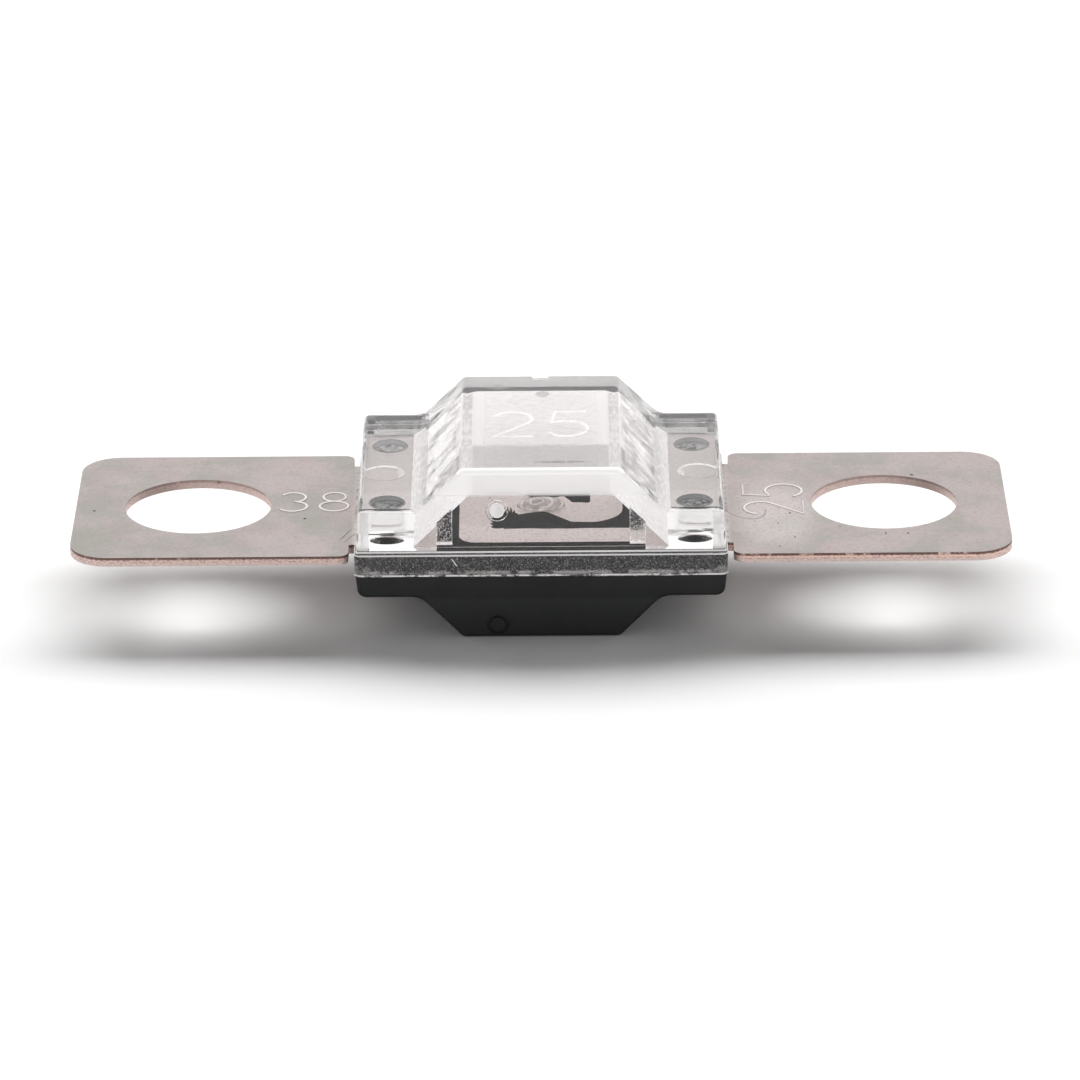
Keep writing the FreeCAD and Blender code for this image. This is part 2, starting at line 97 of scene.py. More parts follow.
class Finish:
    """A node tree in the making: add() puts in any node, close() ends it in a surface."""

    def __init__(self, name, kept_in="materials"):
        self.owner = getattr(bpy.data, kept_in).new(name)
        self.owner.use_nodes = True
        self.tree = self.owner.node_tree
        self.tree.nodes.clear()

    def add(self, kind, settings=None, numbered=None, output=0, **named):
        """Puts in a node by its type, its settings and its sockets, numbered where names repeat."""
        node = self.tree.nodes.new("ShaderNode" + kind)
        for name, setting in (settings or {}).items():
            setattr(node, name, setting)
        sockets = dict(numbered or {})
        sockets.update((name.replace("_", " "), item) for name, item in named.items())
        for socket, item in sockets.items():
            if isinstance(item, Term):
                self.tree.links.new(item.socket, node.inputs[socket])
            elif item is not None:
                node.inputs[socket].default_value = item
        return Term(self, node.outputs[output]) if node.outputs else None

    def place(self, stretch=(1.0, 1.0, 1.0), turn=0.0):
        """Position on the object in millimetres, stretched and turned about Z."""
        spot = self.add("TexCoord", output="Object")
        return self.add(
            "Mapping", Vector=spot, Rotation=(0.0, 0.0, turn), Scale=[s / MM for s in stretch]
        )

    def axis(self, name, of="Position"):
        """One coordinate of the surface's place or normal, in millimetres for a place."""
        if of == "Normal":
            source = self.add("NewGeometry", output="Normal")
        else:
            source = self.place()
        return self.add("SeparateXYZ", output=name, Vector=source)

    def noise(self, scale, detail=3.0, rough=0.5, stretch=(1.0, 1.0, 1.0), turn=0.0):
        """Cloudy variation from 0 to 1 whose lumps are 1 / scale millimetres."""
        spot = self.place(stretch, turn)
        return self.add("TexNoise", Vector=spot, Scale=scale, Detail=detail, Roughness=rough)

    def specks(self, scale, size):
        """1 inside small round spots, one to a cell of 1 / scale millimetres."""
        distance = self.add("TexVoronoi", Vector=self.place(), Scale=scale)
        return distance.rise(size, size * 0.55)

    def distance(self, centre, reach, turn=0.0):
        """Distance from a place as a share of the reach along X, Y and Z, in millimetres."""
        local = self.add(
            "Mapping",
            {"vector_type": "TEXTURE"},
            Vector=self.add("TexCoord", output="Object"),
            Location=[c * MM for c in centre],
            Rotation=(0.0, 0.0, math.radians(turn)),
            Scale=[r * MM for r in reach],
        )
        return self.add("VectorMath", {"operation": "LENGTH"}, output="Value", Vector=local)

    def blend(self, mask, first, second):
        """Colour first where the mask is 0 and second where it is 1."""
        return self.add("Mix", {"data_type": "RGBA"}, {0: mask, 6: first, 7: second}, output=2)

    def mix(self, mask, first, second):
        """Shader first where the mask is 0 and second where it is 1."""
        return self.add("MixShader", numbered={0: mask, 1: first, 2: second})

    def bump(self, height, depth, under=None):
        """Normals that follow a height from 0 to 1, depth in millimetres."""
        return self.add("Bump", Height=height, Distance=depth * MM, Strength=1.0, Normal=under)

    def close(self, surface, end="OutputMaterial"):
        self.add(end, Surface=surface)
        return self.owner


def dress(name, material):
    """Gives a CAD node its finished material."""
    nodes[name].data.materials.clear()
    nodes[name].data.materials.append(material)


PLATING = (0.555, 0.482, 0.470, 1.0)
PLATING_GREY = (0.440, 0.420, 0.385, 1.0)
PLATING_PINK = (0.520, 0.415, 0.412, 1.0)
PLATING_LIGHTER = (0.820, 0.755, 0.745, 1.0)
EDGE_LIGHT = (0.700, 0.545, 0.505, 1.0)
EDGE_BROWN = (0.330, 0.190, 0.155, 1.0)
COPPER = (0.850, 0.545, 0.420, 1.0)
BLACK_MARK = (0.020, 0.016, 0.016, 1.0)
STRIP_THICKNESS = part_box("fuse_strip")[1].z / MM
HOUSING_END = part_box("clear_cover")[1].x / MM
ENDLESS = 1000
PLATING_MARKS = [
    # x, y, half length, half width, turn
    (10.85, -1.30, 0.060, 0.100, 0),
    (10.29, -2.47, 0.045, 0.075, 0),
    (10.97, -4.13, 0.050, 0.085, 0),
    (10.29, -5.16, 0.045, 0.075, 0),
    (9.26, -2.22, 0.035, 0.060, 0),
    (12.97, -2.88, 0.045, 0.070, 0),
    (14.92, -3.74, 0.030, 0.190, 0),
    (15.88, -3.76, 0.090, 0.070, 0),
    (-8.47, -3.50, 0.950, 0.022, 70),
    (-8.30, -3.90, 0.700, 0.016, 65),
    (-8.16, -4.95, 0.110, 0.420, 0),
]


def plating_dots(make):
    """Mask of the black specks, the marks seen on the real strip and a patchy darkening where the strip
    enters the housing.
    """
    dots = make.specks(0.5, 0.05) * make.noise(0.5).rise(0.5, 0.56)
    for x, y, half_length, half_width, turn in PLATING_MARKS:
        mark = make.distance((x, y, 0), (half_length, half_width, ENDLESS), turn)
        dots = dots.largest(mark.rise(1.0, 0.55))
    end = abs(make.axis("X"))
    seam = end.rise(HOUSING_END + 0.11, HOUSING_END + 0.05) * end.rise(HOUSING_END - 0.05, HOUSING_END)
    patchy = make.noise(2.6, detail=5.0, rough=0.7, stretch=(0.3, 1.0, 1.0)).rise(0.44, 0.62)
    return dots.largest(seam * patchy * 0.35)


def flat_plating(make, clouds, grain, patches, scratch, dots):
    """Colour of the strip's two faces, with painted light inside the housing, most on the front bar, and
    lighter beside it.
    """
    end = abs(make.axis("X"))
    flat = make.blend(clouds.rise(0.40, 0.62), PLATING, PLATING_GREY)
    flat = make.blend(patches.rise(0.48, 0.72) * 0.8, flat, PLATING_PINK)
    # Painted light: the plating inside the housing is lighter, most on the front bar
    front_bar = make.axis("Y").rise(-1.9, -2.4)
    flat = make.blend(end.rise(8.3, 7.9) * (0.6 + front_bar * 0.35), flat, PLATING_LIGHTER)
    clean = make.distance((10.3, -1.5, 0), (2.4, 5.0, ENDLESS)).rise(1.0, 0.4)
    flat = make.blend(clean * 0.45, flat, PLATING_LIGHTER)
    flat = make.blend(scratch * 0.4, flat, (0.70, 0.65, 0.64, 1.0))
    flat = make.blend(grain.rise(0.46, 0.76) * 0.6, flat, (0.36, 0.32, 0.31, 1.0))
    hair = make.distance((8.75, -0.3, 0), (0.9, 1.75, ENDLESS), 20)
    hair = hair.rise(0.93, 1.0) * hair.rise(1.07, 1.0) * make.axis("Y").rise(-0.5, -1.1)
    flat = make.blend(hair * 0.6, flat, (0.24, 0.21, 0.21, 1.0))
    return make.blend(dots, flat, BLACK_MARK)


def sheared_edge(make, speckle):
    """Colour of the sheared edges: a dark lip above, bare copper in streaks, plating below, and painted
    shade inside the housing.
    """
    end = abs(make.axis("X"))
    side = abs(make.axis("Y"))
    broken = make.noise(1.1, detail=5.0, rough=0.7, stretch=(1.0, 1.0, 0.4))
    waver = make.axis("Z") + (speckle - 0.5) * 0.10
    lip = waver.rise(0.26, 0.31) * broken.rise(0.30, 0.44)
    streak = waver.rise(0.20, 0.22) * waver.rise(0.27, 0.25) * broken.rise(0.60, 0.46)
    streak = streak * make.axis("X").rise(-30.0, 16.0) * side.rise(3.5, 4.5)
    torn = waver.rise(0.18, 0.12) * speckle.rise(0.46, 0.62)
    edge = make.blend(speckle.rise(0.42, 0.66) * 0.85, EDGE_LIGHT, EDGE_BROWN)
    edge = make.blend(torn * 0.6, edge, (0.62, 0.57, 0.55, 1.0))
    edge = make.blend(streak, edge, COPPER)
    edge = make.blend(lip * 0.9, edge, (0.110, 0.060, 0.052, 1.0))
    edge = make.blend(side.rise(3.6, 3.3) * 0.5, edge, (0.640, 0.500, 0.470, 1.0))
    # Painted shade: the edges inside the housing are dark
    return make.blend(end.rise(8.10, 7.95), edge, (0.060, 0.042, 0.038, 1.0))


def plated_copper():
    make = Finish("plated_copper")
    clouds = make.noise(0.24, detail=5.0, rough=0.7)
    grain = make.noise(7.0, detail=3.0, rough=0.6)
    patches = make.noise(0.75, detail=5.0, rough=0.7, stretch=(1.0, 0.7, 1.0))
    lines = make.noise(2.2, detail=2.0, stretch=(0.14, 3.4, 1.0), turn=0.25)
    scratch = lines.rise(0.66, 0.74) * patches.rise(0.48, 0.62)
    speckle = make.noise(7.0, detail=4.0, rough=0.7, stretch=(1.0, 1.0, 2.0))
    dots = plating_dots(make)
    upright = abs(make.axis("Z", of="Normal")).rise(0.75, 0.35)
    flat = flat_plating(make, clouds, grain, patches, scratch, dots)
    relief = make.bump(grain, 0.003)
    relief = make.bump(scratch, -0.004, relief)
    relief = make.bump(speckle * upright, 0.03, relief)
    surface = make.add(
        "BsdfPrincipled",
        Base_Color=make.blend(upright, flat, sheared_edge(make, speckle)),
        Metallic=1.0 - dots * 0.9,
        Roughness=0.30 + clouds * 0.14 + grain * 0.05 - scratch * 0.08 + dots * 0.4,
        Normal=relief,
    )
    return make.close(surface)


strip_finish = plated_copper()
dress("fuse_strip", strip_finish)
rounding = nodes["fuse_strip"].modifiers.new("sheared_rounding", "BEVEL")
rounding.width = 0.03 * MM
rounding.segments = 2
rounding.limit_method = "ANGLE"
rounding.angle_limit = math.radians(50)


# Plain numbers are pressed into both lugs between the housing and the stud hole. They stand
# out as thin half-round lines, with a painted highlight along the crest and painted shade at the foot.

def arc(centre, radius, start, end, steps=14):
    """Points along part of an ellipse, angles in degrees."""
    turns = [math.radians(start + (end - start) * step / steps) for step in range(steps + 1)]
    return [(centre[0] + radius[0] * math.cos(t), centre[1] + radius[1] * math.sin(t)) for t in turns]


# Each digit stands in a box 1 wide and DIGIT_HEIGHT high, one DIGIT_STEP from the next
DIGIT_HEIGHT = 1.6
DIGIT_STEP = 1.3
DIGITS = {
    "2": [arc((0.5, 1.15), (0.45, 0.45), 165, -35) + [(0.05, 0.0), (0.98, 0.0)]],
    "3": [arc((0.48, 1.2), (0.40, 0.40), 150, -80), arc((0.48, 0.42), (0.46, 0.42), 85, -150)],
    "5": [[(0.92, 1.6), (0.18, 1.6), (0.10, 0.88)] + arc((0.46, 0.50), (0.48, 0.50), 125, -150)],
    "8": [arc((0.5, 1.22), (0.36, 0.38), 0, 360, 20), arc((0.5, 0.42), (0.46, 0.42), 0, 360, 20)],
}


def sweep_line(mesh, path, half_width, crest, foot):
    """A half-round line along points in a plane, from a foot level up or down to its crest."""
    section = [(-1.0, 0.0), (-0.72, 0.68), (0.0, 1.0), (0.72, 0.68), (1.0, 0.0)]
    rings = []
    for number, point in enumerate(path):
        before = path[max(number - 1, 0)]
        after = path[min(number + 1, len(path) - 1)]
        along = (after - before).normalized()
        across = Vector((-along.y, along.x))
        ring = []
        for side, height in section:
            spot = point + across * side * half_width
            level = foot + (crest - foot) * height
            ring.append(mesh.verts.new(Vector((spot.x, spot.y, level)) * MM))
        rings.append(ring)
    for first, second in zip(rings, rings[1:]):
        for number in range(len(section)):
            following = (number + 1) % len(section)
            mesh.faces.new((first[number], second[number], second[following], first[following]))
    mesh.faces.new(rings[0])
    mesh.faces.new(reversed(rings[-1]))


def place_piece(name, mesh, material):
    """Ends a mesh in a named piece that rides with the fuse."""
    bmesh.ops.recalc_face_normals(mesh, faces=mesh.faces)
    data = bpy.data.meshes.new(name)
    mesh.to_mesh(data)
    mesh.free()
    data.materials.append(material)
    for face in data.polygons:
        face.use_smooth = True
    piece = bpy.data.objects.new(name, data)
    bpy.context.scene.collection.objects.link(piece)
    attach(piece, "root")
    return piece


def number_mesh(text, size, middle, turn, half_width, crest, foot):
    """The lines of one number, its digits as high as the size and turned about Z."""
    mesh = bmesh.new()
    width = size / DIGIT_HEIGHT
    for order, digit in enumerate(text):
        left = (order - (len(text) - 1) / 2) * DIGIT_STEP - 0.5
        for stroke in DIGITS[digit]:
            flat = [Vector((x + left, y - DIGIT_HEIGHT / 2)) * width for x, y in stroke]
            path = [Matrix.Rotation(turn, 2) @ point + Vector(middle) for point in flat]
            sweep_line(mesh, path, half_width, crest, foot)
    return mesh


def highlighted_number():
    make = Finish("highlighted_number")
    unevenness = make.noise(1.3, detail=3.0)
    height = make.axis("Z") + (unevenness - 0.5) * 0.02
    # Painted highlight on the crest and painted shade at the foot
    crest = height.rise(STRIP_THICKNESS + 0.008, STRIP_THICKNESS + 0.030)
    colour = make.blend(crest, (0.40, 0.36, 0.35, 1.0), (0.90, 0.85, 0.83, 1.0))
    surface = make.add(
        "BsdfPrincipled",
        Base_Color=colour,
        Metallic=1.0,
        Roughness=0.28 + unevenness * 0.15,
        Normal=make.bump(unevenness, 0.01),
    )
    return make.close(surface)


number_finish = highlighted_number()
CREST = STRIP_THICKNESS + 0.04
FOOT = STRIP_THICKNESS - 0.01
PRESSED_HALF_WIDTH = 0.075
left_number = number_mesh(
    "38", size=2.2, middle=(-9.95, 0.4), turn=0.0,
    half_width=PRESSED_HALF_WIDTH, crest=CREST, foot=FOOT,
)
right_number = number_mesh(
    "25", size=2.6, middle=(10.16, 0.37), turn=math.pi / 2,
    half_width=PRESSED_HALF_WIDTH, crest=CREST, foot=FOOT,
)
place_piece("left_lug_number", left_number, number_finish)
place_piece("right_lug_number", right_number, number_finish)


# The tin spot is a bead of solder that was melted onto the element's fusing point.
# It is smooth and bright, with a slightly wrinkled skin and rings of painted highlight.

def solidified_tin():
    make = Finish("solidified_tin")
    skin = make.noise(1.6, detail=3.0)
    # Painted highlight: bright rings across the bead
    rings = (make.distance((-0.2, -0.2, 0.7), (0.1, 0.07, ENDLESS)) * 1.5 + skin * 7.0).wave()
    colour = make.blend(skin.rise(0.35, 0.7), (0.38, 0.35, 0.34, 1.0), (0.60, 0.56, 0.55, 1.0))
    colour = make.blend(rings.rise(0.3, 0.95) * 0.5, colour, (0.90, 0.87, 0.86, 1.0))
    surface = make.add(
        "BsdfPrincipled",
        Base_Color=colour,
        Metallic=1.0,
        Roughness=0.14 + skin * 0.15,
        Normal=make.bump(skin, 0.05),
    )
    return make.close(surface)


dress("tin_spot", solidified_tin())


# The base is moulded in black plastic with a fine satin grain and is welded to the cover. It
# has a few pale specks of dust, and painted light makes the lower part of its sides a little greyer.

BLACK_DEEP = (0.0160, 0.0165, 0.0172, 1.0)
BLACK_WORN = (0.0245, 0.0250, 0.0265, 1.0)
BLACK_GREYED = (0.0400, 0.0415, 0.0430, 1.0)


def black_plastic():
    make = Finish("black_plastic")
    grain = make.noise(14.0, detail=3.0, rough=0.6)
    cloud = make.noise(0.5, detail=3.0)
    dust = make.specks(1.1, 0.035) * make.noise(0.7).rise(0.52, 0.6)
    low_part = make.axis("Z").rise(-1.5, -1.8)
    colour = make.blend(cloud.rise(0.3, 0.75), BLACK_DEEP, BLACK_WORN)
    # Painted light: the lower part of the sides is greyer
    colour = make.blend(low_part * 0.8, colour, BLACK_GREYED)
    colour = make.blend(dust, colour, (0.22, 0.22, 0.22, 1.0))
    surface = make.add(
        "BsdfPrincipled",
        Base_Color=colour,
        Roughness=0.40 + cloud * 0.12 + grain * 0.05,
        Specular_IOR_Level=0.3,
        Normal=make.bump(grain, 0.006),
    )
    return make.close(surface)


dress("base_housing", black_plastic())


# The cover is moulded in clear plastic and welded down over the strip. Its outer faces are
# glossy, the cavity's are milky and crinkled and the skirt's speckled. The milky faces glow
# with painted light, and painted glints and a painted reflection brighten the ribs, the skirt's
# ledge and the upper front. Ripples lie round the gate on its front, and the ends of its four
# pins, melted into the base, are painted black as shade, darkest at the front.

FRONT_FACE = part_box("clear_cover")[0].y / MM + 0.15
SHOULDER_TOP = 2.4
SKIRT_TOP = 0.42
CEILING = 3.05
CAVITY_FLOOR = 0.47
CAVITY_HALF_DEPTH = 4.7
CAVITY_SLOPE = 1.8 / 1.825
RIB_INNER = 3.79
RIB_OUTER = 4.55
GATE = (-1.88, FRONT_FACE, 2.37)
CLEAR = (0.950, 0.935, 0.930, 1.0)
CLEAR_SMOKED = (0.320, 0.310, 0.310, 1.0)
MILKY = (0.950, 0.930, 0.925, 1.0)
MILKY_SHADED = (0.220, 0.190, 0.185, 1.0)


def cavity_faces(make):
    """Masks of the ceiling, the sloping ends, the front and the back of the cavity."""
    x = abs(make.axis("X"))
    depth = make.axis("Y")
    z = make.axis("Z")
    from_wall = abs(depth) - CAVITY_HALF_DEPTH
    upright = abs(make.axis("Y", of="Normal"))
    lean = z + x * CAVITY_SLOPE
    cavity = z.rise(CEILING + 0.25, CEILING + 0.1) * z.rise(CAVITY_FLOOR - 0.03, CAVITY_FLOOR + 0.03)
    cavity = cavity * lean.rise(6.8, 6.6) * from_wall.rise(0.06, 0.02)
    ceiling = cavity * z.rise(CEILING - 0.15, CEILING - 0.05)
    slopes = cavity * lean.rise(5.45, 5.6) * from_wall.rise(0.0, -0.03) * upright.rise(0.6, 0.4)
    front = cavity * depth.rise(0.04 - CAVITY_HALF_DEPTH, 0.01 - CAVITY_HALF_DEPTH)
    back = cavity * depth.rise(CAVITY_HALF_DEPTH - 0.2, CAVITY_HALF_DEPTH - 0.05)
    return cavity, ceiling, slopes, front, back


def rib_faces(make, cavity):
    """Masks of the ribs' faces, painted glint lines along their edges, and the ribs' sides."""
    x = abs(make.axis("X"))
    y = abs(make.axis("Y"))
    z = make.axis("Z")
    upright = abs(make.axis("Y", of="Normal"))
    rib = cavity * x.rise(RIB_INNER - 0.01, RIB_INNER + 0.01) * x.rise(RIB_OUTER + 0.01, RIB_OUTER - 0.01)
    rib = rib * y.rise(4.10, 4.13)
    face = rib * y.rise(4.20, 4.17) * upright.rise(0.4, 0.6)
    # Painted highlight: glint lines along the ribs' edges and foot
    glint_lines = x.rise(RIB_INNER + 0.09, RIB_INNER + 0.06).largest(x.rise(RIB_OUTER - 0.09, RIB_OUTER - 0.06))
    glint_lines = glint_lines.largest(z.rise(CAVITY_FLOOR + 0.13, CAVITY_FLOOR + 0.10))
    return face, face * glint_lines, rib * upright.rise(0.6, 0.4)


def skirt_faces(make):
    """Masks of the skirt, the torn weld at its foot, the two painted glint lines of its ledge, and the
    pins.
    """
    x = abs(make.axis("X"))
    y = abs(make.axis("Y"))
    z = make.axis("Z")
    skirt = z.rise(SKIRT_TOP + 0.02, SKIRT_TOP - 0.02) * x.rise(6.9, 7.0).largest(y.rise(5.2, 5.25))
    weld = z.rise(-0.47, -0.53) * make.noise(1.6, detail=5.0, rough=0.75).rise(0.44, 0.52)
    # Painted highlight: two glint lines along the edges of the ledge
    lower_line = z.rise(0.34, 0.37) * z.rise(0.43, 0.40)
    upper_line = z.rise(0.47, 0.50) * z.rise(0.57, 0.54)
    ledge = y.rise(5.84, 5.86).largest(x.rise(7.89, 7.91)) * lower_line.largest(upper_line)
    pins = z.rise(SKIRT_TOP + 0.02, SKIRT_TOP - 0.04) * x.rise(7.5, 7.45) * y.rise(4.2, 4.15)
    return skirt, weld, ledge, pins


def ceiling_marks(make, crinkle, fine):
    """Dark marks of the ceiling: its dull front part, a crack, a burr and three small dark spots."""
    dull = (make.axis("Y") + crinkle * 0.3).rise(-1.5, -2.1) * abs(make.axis("X")).rise(3.6, 3.2)
    crack = make.distance((1.55, -0.05, 0), (1.85, 0.05, ENDLESS), -25).rise(1.0, 0.5)
    burr = make.distance((0.9, -4.0, 0), (1.7, 0.16, ENDLESS)).rise(1.0, 0.6) * fine.rise(0.36, 0.46)
    ceiling_spots = make.distance((-3.1, 3.75, 0), (0.13, 0.50, ENDLESS))
    ceiling_spots = ceiling_spots.smallest(make.distance((3.15, 3.75, 0), (0.15, 0.50, ENDLESS)))
    ceiling_spots = ceiling_spots.smallest(make.distance((0.08, 4.30, 0), (0.33, 0.42, ENDLESS))).rise(1.1, 0.7)
    return (dull * 0.46).largest(crack * 0.35).largest(burr).largest(ceiling_spots * 0.6)


def front_marks(make):
    """Masks of the front: shoulders, outer corners, a painted reflection along the upper front, nicks under
    the top, a hair.
    """
    along = make.axis("X")
    x = abs(along)
    depth = make.axis("Y")
    z = make.axis("Z")
    on_front = depth.rise(FRONT_FACE + 0.07, FRONT_FACE + 0.01)
    under_top = z.rise(SHOULDER_TOP + 0.02, SHOULDER_TOP - 0.10)
    shoulder = on_front * z.rise(1.35, 1.60) * under_top * x.rise(5.6, 6.0)
    corner = on_front * z.rise(0.58, 0.62) * under_top * x.rise(7.35, 7.45)
    # Painted reflection: a bright strip along the upper front and the roof's front edge
    reflection_band = depth.rise(-5.6, -5.8) * z.rise(3.0, 3.15) + z.rise(4.0, 4.1) * depth.rise(-5.45, -5.6)
    nick = depth.rise(FRONT_FACE + 0.07, FRONT_FACE - 0.01) * z.rise(SHOULDER_TOP - 0.06, SHOULDER_TOP)
    nick = nick * x.rise(5.85, 5.92) * x.rise(7.42, 7.35)
    level = z - 0.07
    hair = abs(along + 3.73 + level * 0.65).rise(0.035, 0.015) * abs(level).rise(0.17, 0.15)
    return shoulder, corner, reflection_band, nick, hair * depth.rise(-5.9, -5.95)


def clear_plastic():
    make = Finish("clear_plastic")
    depth = make.axis("Y")
    z = make.axis("Z")
    wave = make.noise(0.45, detail=2.0)
    crinkle = make.noise(3.2, detail=4.0, rough=0.65)
    fine = make.noise(10.0, detail=2.0, rough=0.6)
    grit = make.noise(11.0, detail=4.0, rough=0.8)
    streaks = make.noise(2.6, detail=4.0, rough=0.7, stretch=(1.0, 0.5, 1.6), turn=0.5)
    torn = z + make.noise(1.3, detail=5.0, rough=0.75) * 0.9

    cavity, ceiling, slopes, front, back = cavity_faces(make)
    rib_face, rib_glint_lines, rib_sides = rib_faces(make, cavity)
    skirt, weld, ledge, pins = skirt_faces(make)
    shoulder, corner, reflection_band, nick, hair = front_marks(make)
    gate = make.distance(GATE, (1.0, ENDLESS, 1.0))
    disc = gate.rise(0.36, 0.28) * depth.rise(-5.4, -5.6)

    milk = ceiling * (0.60 + crinkle * 0.3) + back * 0.6 + front * torn.rise(3.38, 3.46) * 0.8
    milk = milk + slopes * (0.60 + streaks.rise(0.44, 0.62) * 0.3) + rib_sides * 0.08
    milk = milk + rib_face * grit.rise(0.52, 0.59) * 0.6 + rib_glint_lines * 0.4
    milk = milk + skirt * grit.rise(0.53, 0.62) * 0.35 + weld * 0.9 + ledge + hair * 0.9
    milk = milk + shoulder * (0.20 + crinkle * 0.4) + corner * 0.8 + reflection_band * 0.7 + disc * 0.8
    shade = ceiling * ceiling_marks(make, crinkle, fine)
    shade = shade.largest(shoulder * crinkle.rise(0.3, 0.7) * 0.35)
    smoked = nick.largest(pins * fine.rise(0.3, 0.6)).largest(skirt * 0.8)

    crinkled = (slopes * 0.6).largest(ceiling).largest(back).largest(rib_face)
    ripple = (gate * 46.0).wave() * gate.rise(0.95, 0.5)
    relief = make.bump(wave, 0.02)
    relief = make.bump(crinkle * crinkled, 0.05, relief)
    relief = make.bump(fine * skirt.largest(pins), 0.04, relief)
    relief = make.bump(ripple, 0.0015, relief)

    clear = make.add(
        "BsdfPrincipled",
        Base_Color=make.blend(smoked, CLEAR, CLEAR_SMOKED),
        Roughness=0.02 + slopes * 0.08 + ceiling * 0.08 + skirt * 0.15,
        IOR=1.58,
        Specular_Tint=(0.6, 0.6, 0.6, 1.0),
        Transmission_Weight=1.0,
        Normal=relief,
    )
    white = make.blend(shade, MILKY, MILKY_SHADED)
    passed = make.add(
        "BsdfPrincipled",
        Base_Color=white,
        Roughness=0.8,
        IOR=1.58,
        Transmission_Weight=1.0,
        Normal=relief,
    )
    # Painted light: an emission makes the milky faces glow, standing in for light spread inside the
    # moulding, which a surface alone can't show
    painted_glow = make.add(
        "BsdfPrincipled",
        Base_Color=white,
        Roughness=1.0,
        Specular_IOR_Level=0.0,
        Emission_Color=white,
        Emission_Strength=0.55,
    )
    share = 0.65 + disc * crinkle.rise(0.35, 0.6) * 0.3 + reflection_band * 0.2 + ceiling * 0.05
    haze = make.mix(share.smallest(1.0), passed, painted_glow)
    moulded = make.mix(milk.smallest(1.0), clear, haze)
    # Painted shade: the pins' ends below the strip are black, darkest on the front pins
    pin_shade = pins * z.rise(-0.1, -0.4) * (0.45 + depth.rise(0.5, -0.5) * 0.5)
    pin_shade = pin_shade * (0.5 + crinkle.rise(0.60, 0.42) * 0.5)
    black = make.add("BsdfDiffuse", Color=(0.025, 0.025, 0.027, 1.0))
    return make.close(make.mix(pin_shade, moulded, black))


cover_finish = clear_plastic()
dress("clear_cover", cover_finish)


# A plain number is moulded faintly inside the cover's roof. It hangs from the ceiling as a
# thin half-round line in the same clear plastic.

roof_number = number_mesh(
    "25", size=3.0, middle=(0.0, 0.6), turn=0.0,
    half_width=0.08, crest=CEILING - 0.035, foot=CEILING + 0.02,
)
place_piece("roof_number", roof_number, cover_finish)


# A ragged bead of flash, part milky and part smoked, was squeezed out all round where the
# cover and the base were welded together. Its thickness comes and goes.

FLASH_LEVEL = -0.57
FLASH_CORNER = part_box("clear_cover")[1].xy / MM - Vector((0.05, 0.05))
SWELLS = (0.008, 0.012, 0.02, 0.035, 0.045)
SWELL_POINTS = 9
SECTION_POINTS = 6


def flash_bead():
    """A closed bead along the foot of the skirt whose thickness comes and goes."""
    chance = random.Random(7)
    right, back = FLASH_CORNER
    sides = [
        # start, end, way out, points
        (Vector((-right, -back)), Vector((right, -back)), Vector((0, -1)), 190),
        (Vector((right, -back)), Vector((right, back)), Vector((1, 0)), 140),
        (Vector((right, back)), Vector((-right, back)), Vector((0, 1)), 190),
        (Vector((-right, back)), Vector((-right, -back)), Vector((-1, 0)), 140),
    ]
    path = [(a.lerp(b, step / count), out) for a, b, out, count in sides for step in range(count)]
    mesh = bmesh.new()
    rings = []
    size = 0.02
    swell = 0.02
    for number, (point, out) in enumerate(path):
        if number % SWELL_POINTS == 0:
            swell = chance.choice(SWELLS)
        size += (swell * chance.uniform(0.6, 1.3) - size) * 0.45
        ring = []
        for turn in range(SECTION_POINTS):
            angle = math.tau * turn / SECTION_POINTS
            spot = point + out * size * 0.9 * math.cos(angle)
            level = FLASH_LEVEL + size * 1.1 * math.sin(angle) + chance.uniform(-0.006, 0.006)
            ring.append(mesh.verts.new(Vector((spot.x, spot.y, level)) * MM))
        rings.append(ring)
    for first, second in zip(rings, rings[1:] + rings[:1]):
        for number in range(SECTION_POINTS):
            following = (number + 1) % SECTION_POINTS
            mesh.faces.new((first[number], second[number], second[following], first[following]))
    return mesh


def milky_flash():
    make = Finish("milky_flash")
    torn = make.noise(2.4, detail=4.0, rough=0.7)
    colour = make.blend(torn.rise(0.42, 0.58), (0.10, 0.10, 0.11, 1.0), (0.90, 0.89, 0.89, 1.0))
    surface = make.add(
        "BsdfPrincipled",
        Base_Color=colour,
        Roughness=0.25 + torn * 0.2,
        Normal=make.bump(torn, 0.01),
    )
    return make.close(surface)


place_piece("weld_flash", flash_bead(), milky_flash())


# The stage: a plain white floor, a soft lamp behind and two weaker ones to the sides of it,
# a pale surrounding, and the camera where the photograph was taken from.

FLOOR_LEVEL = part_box("base_housing")[0].z
FLOOR_REACH = 3.0
AMBIENT = 0.17


def plain_floor():
    make = Finish("plain_floor")
    seen = make.add("LightPath", output="Is Camera Ray")
    glossy = make.add("LightPath", output="Is Glossy Ray")
    through = make.add("LightPath", output="Is Transmission Ray")
    direct = seen.largest(glossy).largest(through)
    pale = make.add("BsdfDiffuse", Color=(0.8, 0.8, 0.8, 1.0))
    white = make.add("BsdfDiffuse", Color=(1.0, 1.0, 1.0, 1.0))
    lift = make.add("Emission", Color=(1.0, 1.0, 1.0, 1.0), Strength=0.02)
    lifted = make.add("AddShader", numbered={0: white, 1: lift})
    return make.close(make.mix(direct, pale, lifted))


floor_mesh = bpy.data.meshes.new("floor")
floor_mesh.from_pydata(
    [(x * FLOOR_REACH, y * FLOOR_REACH, FLOOR_LEVEL) for x, y in ((-1, -1), (1, -1), (1, 1), (-1, 1))],
    [],
    [(0, 1, 2, 3)],
)
floor = bpy.data.objects.new("floor", floor_mesh)
bpy.context.scene.collection.objects.link(floor)
floor_mesh.materials.append(plain_floor())


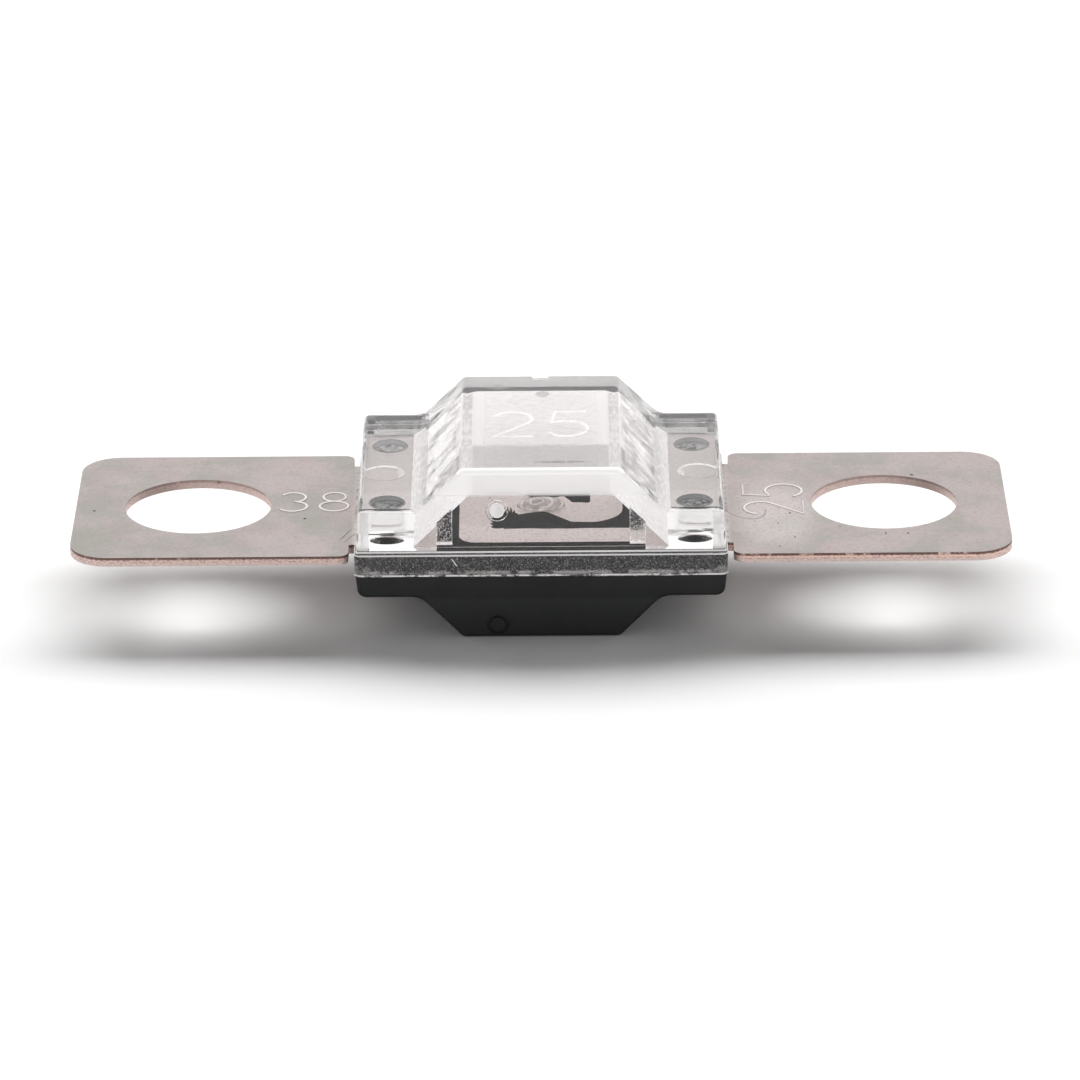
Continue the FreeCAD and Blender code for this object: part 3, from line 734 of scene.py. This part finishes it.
def add_lamp(name, place, width, height, power):
    """A soft box that faces the object, left out of its reflections."""
    data = bpy.data.lights.new(name, "AREA")
    data.shape = "RECTANGLE"
    data.size = width
    data.size_y = height
    data.energy = power
    lamp = bpy.data.objects.new(name, data)
    bpy.context.scene.collection.objects.link(lamp)
    lamp.location = place
    lamp.rotation_euler = (-Vector(place)).to_track_quat("-Z", "Y").to_euler()
    lamp.visible_glossy = False
    lamp.visible_transmission = False
    return lamp


add_lamp("back_light", place=(0.0, 0.46, 0.56), width=0.85, height=0.42, power=5.8)
add_lamp("left_light", place=(-0.57, 0.33, 0.293), width=0.30, height=0.30, power=1.6)
add_lamp("right_light", place=(0.57, 0.33, 0.293), width=0.30, height=0.30, power=1.6)


def pale_surrounding():
    """White where it is seen, mirrored or looked through to, and weak where it lights."""
    make = Finish("pale_surrounding", kept_in="worlds")
    lighting = make.add("LightPath", output="Is Diffuse Ray")
    strength = 1.0 - lighting * (1.0 - AMBIENT)
    sky = make.add("Background", Color=(1.0, 1.0, 1.0, 1.0), Strength=strength)
    return make.close(sky, "OutputWorld")


bpy.context.scene.world = pale_surrounding()

# Camera: distance and target in metres, angles in degrees, focal length in pixels of 1080
DISTANCE = 0.302883
ELEVATION = math.radians(21.768)
TURN = math.radians(0.191)
ROLL = math.radians(-0.483)
TARGET = Vector((-0.061, 0.0, -1.303)) * MM
FOCAL_PIXELS = 6904.3
PICTURE = 1080

backwards = Vector((
    math.sin(TURN) * math.cos(ELEVATION), -math.cos(TURN) * math.cos(ELEVATION), math.sin(ELEVATION)
))
right = (-backwards).cross(Vector((0, 0, 1))).normalized()
up = right.cross(-backwards)
tilted_right = right * math.cos(ROLL) + up * math.sin(ROLL)
tilted_up = -right * math.sin(ROLL) + up * math.cos(ROLL)
lens = bpy.data.cameras.new("camera")
lens.sensor_width = 36.0
lens.lens = FOCAL_PIXELS / PICTURE * lens.sensor_width
lens.clip_start = 0.01
lens.clip_end = 10.0
camera = bpy.data.objects.new("camera", lens)
bpy.context.scene.collection.objects.link(camera)
camera.matrix_world = Matrix.Translation(TARGET + backwards * DISTANCE) @ Matrix(
    (tilted_right, tilted_up, backwards)
).transposed().to_4x4()
bpy.context.scene.camera = camera

bpy.context.scene.view_settings.view_transform = "Standard"
